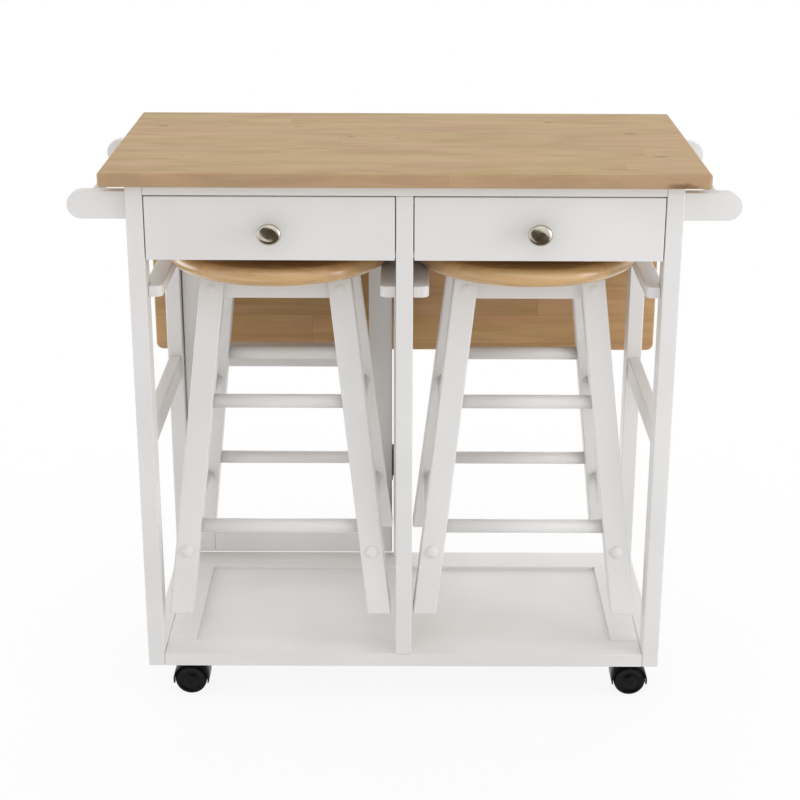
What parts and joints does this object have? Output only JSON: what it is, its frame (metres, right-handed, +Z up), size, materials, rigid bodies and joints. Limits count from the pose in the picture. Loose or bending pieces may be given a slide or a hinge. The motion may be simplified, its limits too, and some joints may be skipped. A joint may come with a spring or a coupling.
{
  "type": "drop leaf kitchen island",
  "caption": "Rolling drop leaf kitchen island with drawers, towel racks, a swing-out leaf gate, and round stools hung by their seats under the worktop.",
  "frame": {"origin": "on the floor, at the middle of the object's width and depth with the leaf down", "axes": "+X to the right and +Y to the back as seen from the drawers' side, +Z up"},
  "size_m": [0.97, 0.4684, 0.864],
  "materials": {
    "painted_wood": "white satin paint",
    "maple": "oiled maple staves, satin",
    "seat_maple": "clear gloss lacquer over maple",
    "drawer_wood": "plain sanded wood",
    "satin_nickel": "satin nickel",
    "antique_bronze": "antique bronze",
    "black_nylon": "moulded black nylon"
  },
  "bodies": {
    "frame": {"worktop": "maple", "leg_front_left": "painted_wood", "leg_front_right": "painted_wood", "leg_rear_left": "painted_wood", "leg_rear_right": "painted_wood", "front_center_post": "painted_wood", "rear_center_post": "painted_wood", "front_top_rail": "painted_wood", "side_apron_left": "painted_wood", "side_apron_right": "painted_wood", "back_apron": "painted_wood", "drawer_divider": "painted_wood", "side_mid_rail_left": "painted_wood", "side_mid_rail_right": "painted_wood", "side_bottom_rail_left": "painted_wood", "side_bottom_rail_right": "painted_wood", "base_shelf": "painted_wood", "stool_hanger_left": "painted_wood", "stool_hanger_right": "painted_wood", "stool_hanger_center": "painted_wood", "towel_rack_left": "painted_wood", "towel_rack_right": "painted_wood", "leaf_hinge_fixed_left": "antique_bronze", "leaf_hinge_fixed_right": "antique_bronze"},
    "leaf": {"leaf": "maple", "leaf_hinge_moving_left": "antique_bronze", "leaf_hinge_moving_right": "antique_bronze"},
    "gate": {"gate_frame": "painted_wood", "gate_hinge_lower": "antique_bronze", "gate_hinge_upper": "antique_bronze"},
    "drawer_left": {"drawer_front_left": "painted_wood", "drawer_box_left": "drawer_wood", "drawer_knob_left": "satin_nickel"},
    "drawer_right": {"drawer_front_right": "painted_wood", "drawer_box_right": "drawer_wood", "drawer_knob_right": "satin_nickel"},
    "stool_left": {"stool_left_seat": "seat_maple", "stool_left_apron": "painted_wood", "stool_left_legs_front": "painted_wood", "stool_left_legs_rear": "painted_wood", "stool_left_rung_lower_left": "painted_wood", "stool_left_rung_lower_right": "painted_wood", "stool_left_rung_upper_left": "painted_wood", "stool_left_rung_upper_right": "painted_wood"},
    "stool_right": {"stool_right_seat": "seat_maple", "stool_right_apron": "painted_wood", "stool_right_legs_front": "painted_wood", "stool_right_legs_rear": "painted_wood", "stool_right_rung_lower_left": "painted_wood", "stool_right_rung_lower_right": "painted_wood", "stool_right_rung_upper_left": "painted_wood", "stool_right_rung_upper_right": "painted_wood"},
    "caster_front_left": {"caster_housing_front_left": "black_nylon"},
    "wheels_front_left": {"caster_wheels_front_left": "black_nylon"},
    "caster_front_right": {"caster_housing_front_right": "black_nylon"},
    "wheels_front_right": {"caster_wheels_front_right": "black_nylon"},
    "caster_rear_left": {"caster_housing_rear_left": "black_nylon"},
    "wheels_rear_left": {"caster_wheels_rear_left": "black_nylon"},
    "caster_rear_right": {"caster_housing_rear_right": "black_nylon"},
    "wheels_rear_right": {"caster_wheels_rear_right": "black_nylon"}
  },
  "joints": [
    {"name": "leaf_fold", "type": "hinge", "parent": "frame", "child": "leaf", "pos_m": [0, 0.21038, 0.8402], "axis": [1, 0, 0], "range_deg": [0, 90]},
    {"name": "gate_swing", "type": "hinge", "parent": "frame", "child": "gate", "pos_m": [-0.02, 0.16992, 0.4666], "axis": [0, 0, -1], "range_deg": [0, 6.5]},
    {"name": "drawer_slide_left", "type": "slide", "parent": "frame", "child": "drawer_left", "axis": [0, -1, 0], "range_m": [0, 0.25]},
    {"name": "drawer_slide_right", "type": "slide", "parent": "frame", "child": "drawer_right", "axis": [0, -1, 0], "range_m": [0, 0.25]},
    {"name": "stool_slide_left", "type": "slide", "parent": "frame", "child": "stool_left", "axis": [0, -1, 0], "range_m": [0, 0.36]},
    {"name": "stool_slide_right", "type": "slide", "parent": "frame", "child": "stool_right", "axis": [0, -1, 0], "range_m": [0, 0.36]},
    {"name": "caster_swivel_front_left", "type": "hinge", "parent": "frame", "child": "caster_front_left", "pos_m": [-0.35, -0.15887, 0.06], "axis": [0, 0, 1], "continuous": true},
    {"name": "wheel_spin_front_left", "type": "hinge", "parent": "caster_front_left", "child": "wheels_front_left", "pos_m": [-0.339, -0.15887, 0.025], "axis": [0, 1, 0], "continuous": true},
    {"name": "caster_swivel_front_right", "type": "hinge", "parent": "frame", "child": "caster_front_right", "pos_m": [0.35, -0.15887, 0.06], "axis": [0, 0, 1], "continuous": true},
    {"name": "wheel_spin_front_right", "type": "hinge", "parent": "caster_front_right", "child": "wheels_front_right", "pos_m": [0.361, -0.15887, 0.025], "axis": [0, 1, 0], "continuous": true},
    {"name": "caster_swivel_rear_left", "type": "hinge", "parent": "frame", "child": "caster_rear_left", "pos_m": [-0.35, 0.11912, 0.06], "axis": [0, 0, 1], "continuous": true},
    {"name": "wheel_spin_rear_left", "type": "hinge", "parent": "caster_rear_left", "child": "wheels_rear_left", "pos_m": [-0.339, 0.11912, 0.025], "axis": [0, 1, 0], "continuous": true},
    {"name": "caster_swivel_rear_right", "type": "hinge", "parent": "frame", "child": "caster_rear_right", "pos_m": [0.35, 0.11912, 0.06], "axis": [0, 0, 1], "continuous": true},
    {"name": "wheel_spin_rear_right", "type": "hinge", "parent": "caster_rear_right", "child": "wheels_rear_right", "pos_m": [0.361, 0.11912, 0.025], "axis": [0, 1, 0], "continuous": true}
  ]
}
